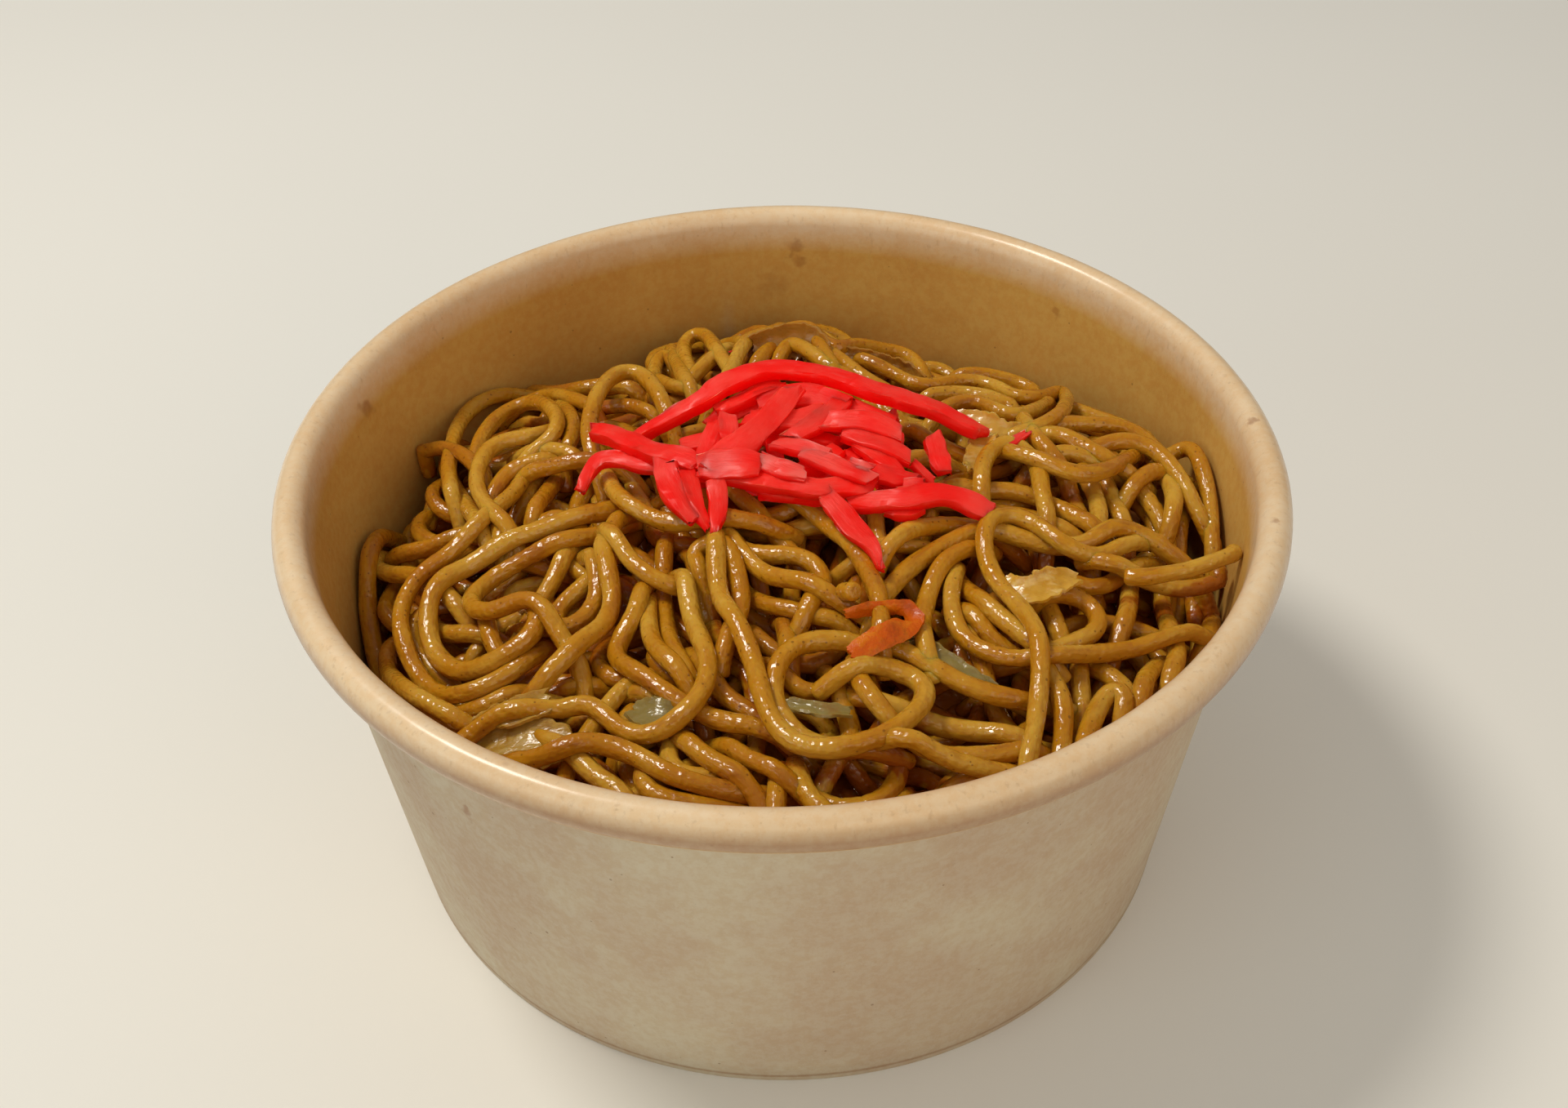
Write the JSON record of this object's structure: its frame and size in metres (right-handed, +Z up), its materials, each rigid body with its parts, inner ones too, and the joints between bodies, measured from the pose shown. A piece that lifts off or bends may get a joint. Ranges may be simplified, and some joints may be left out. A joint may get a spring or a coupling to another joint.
{
  "type": "yakisoba in a paper bowl",
  "caption": "Round tapered paper bowl with a rolled rim, filled with a heap of brown fried noodles topped with red pickled ginger, cabbage and carrot.",
  "frame": {"origin": "middle of the ring that the bowl stands on", "axes": "+Z up through the bowl's mouth, -Y towards the front, +X to the right"},
  "size_m": [0.15, 0.15, 0.069],
  "materials": {
    "kraft_board": "unbleached kraft board with a thin clear coating, satin",
    "noodle": "wheat noodle browned with sauce, oily gloss",
    "red_ginger": "pickled ginger dyed red, wet and slightly translucent",
    "carrot": "fried carrot, browned edges, oily",
    "cabbage": "soft fried cabbage, translucent, oily"
  },
  "bodies": {
    "root": {"bowl_wall": "kraft_board", "bowl_base": "kraft_board", "noodles": "noodle", "pickled_ginger": "red_ginger", "carrot_strip": "carrot", "cabbage_back": "cabbage", "cabbage_right": "cabbage", "cabbage_left": "cabbage", "cabbage_front": "cabbage"}
  },
  "joints": []
}
